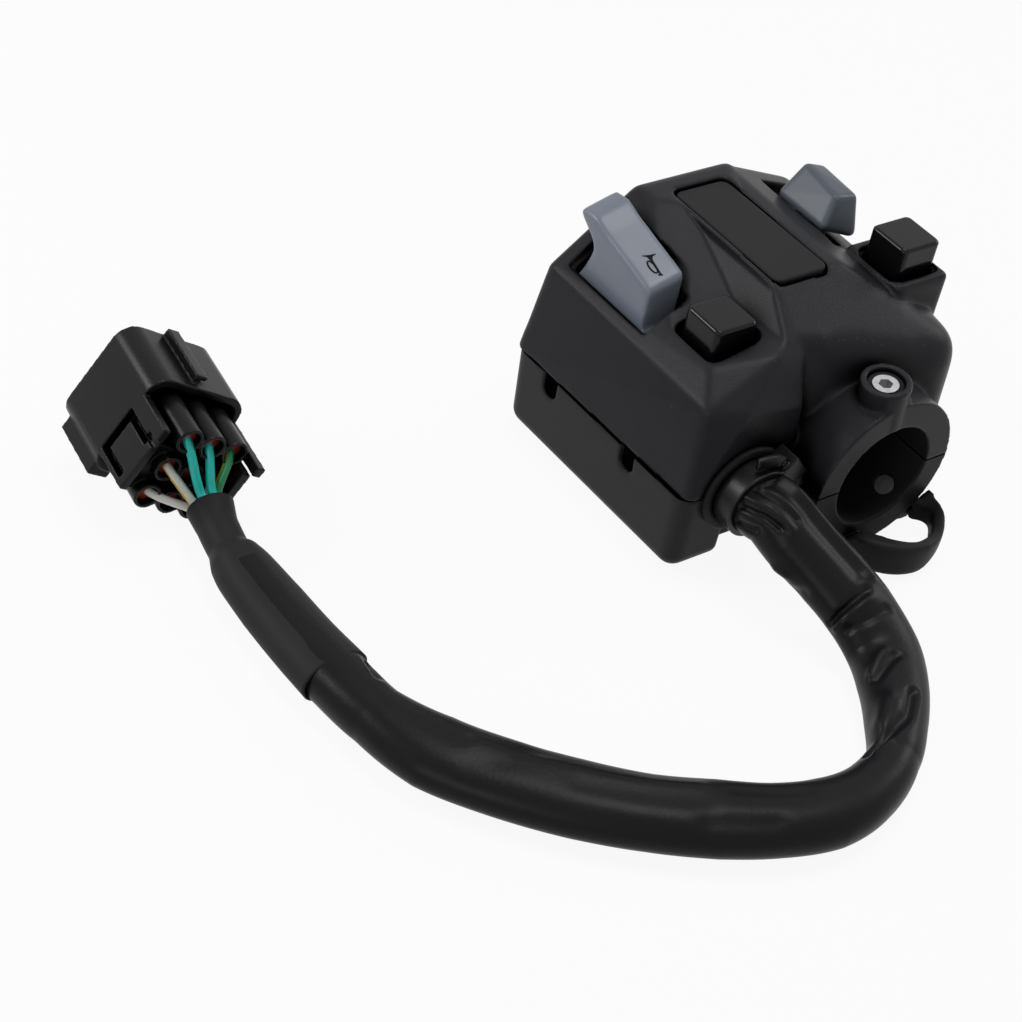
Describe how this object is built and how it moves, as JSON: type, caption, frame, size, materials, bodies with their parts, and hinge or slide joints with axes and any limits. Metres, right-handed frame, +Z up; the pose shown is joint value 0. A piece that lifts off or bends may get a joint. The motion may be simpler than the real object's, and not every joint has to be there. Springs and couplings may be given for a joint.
{
  "type": "handlebar switch cluster",
  "caption": "Left-hand handlebar switch cluster: split housing with bar clamp collar, horn key, mode and beam push buttons, sliding turn knob, sheathed harness and sealed connector.",
  "frame": {"origin": "on the bar's axis in the plane of the clamp collar's mouth", "axes": "+X along the bar, out of the collar's mouth; +Z up, normal to the plane where the two shells part; +Y away from the thumb side"},
  "size_m": [0.1444, 0.1519, 0.0535],
  "materials": {
    "black_plastic": "fine-grained",
    "grey_plastic": "satin",
    "gloss_black": "gloss",
    "dark_plastic": "satin",
    "ivory_plastic": "satin",
    "rubber": "matte",
    "steel": "brushed",
    "bronze": "satin",
    "board": "satin",
    "sheath": "satin",
    "wire_teal": "gloss",
    "wire_green": "gloss",
    "wire_white": "gloss",
    "connector_black": "satin",
    "seal_red": "matte"
  },
  "bodies": {
    "housing": {"upper_shell": "black_plastic", "lower_shell": "black_plastic", "blank_panel": "black_plastic", "collar_screws": "steel", "screw_ring": "rubber", "clamp_screws": "steel", "shell_screws": "steel", "contact_board": "board", "board_screws": "steel", "horn_pin": "steel", "horn_spring": "steel", "horn_contact": "bronze", "mode_spring": "steel", "mode_switch": "dark_plastic", "beam_spring": "steel", "beam_switch": "dark_plastic", "turn_base": "board", "turn_contacts": "bronze", "solder_tags": "bronze", "inner_leads": "wire_teal", "cable_grommet": "rubber", "cable_tie": "gloss_black", "cable_sheath": "sheath", "shrink_sleeve": "sheath", "wires_teal": "wire_teal", "wire_green": "wire_green", "wires_white": "wire_white", "connector_housing": "connector_black", "terminal_lock": "dark_plastic", "wire_seals": "seal_red", "connector_pins": "steel"},
    "horn": {"horn_key": "grey_plastic"},
    "mode": {"mode_button": "gloss_black"},
    "beam": {"beam_button": "gloss_black"},
    "turn_slider": {"turn_carriage": "ivory_plastic", "turn_spring": "steel"},
    "turn_cap": {"turn_knob": "grey_plastic"}
  },
  "joints": [
    {"name": "horn_hinge", "type": "hinge", "parent": "housing", "child": "horn", "pos_m": [-0.0384, -0.0304, 0.0166], "axis": [0, -1, 0], "range_deg": [0, 7], "stiffness_Nm_per_rad": 0.2, "deforming": ["horn_spring"]},
    {"name": "mode_press", "type": "slide", "parent": "housing", "child": "mode", "axis": [0, 0, -1], "range_m": [0, 0.002], "stiffness_N_per_m": 1500, "deforming": ["mode_spring"]},
    {"name": "beam_press", "type": "slide", "parent": "housing", "child": "beam", "axis": [0, 0, -1], "range_m": [0, 0.002], "stiffness_N_per_m": 1500, "deforming": ["beam_spring"]},
    {"name": "turn_slide", "type": "slide", "parent": "housing", "child": "turn_slider", "axis": [1, 0, 0], "range_m": [-0.0035, 0.0035], "stiffness_N_per_m": 500},
    {"name": "turn_cancel", "type": "slide", "parent": "turn_slider", "child": "turn_cap", "axis": [0, 0, -1], "range_m": [0, 0.0012], "stiffness_N_per_m": 2000, "deforming": ["turn_spring"]}
  ]
}
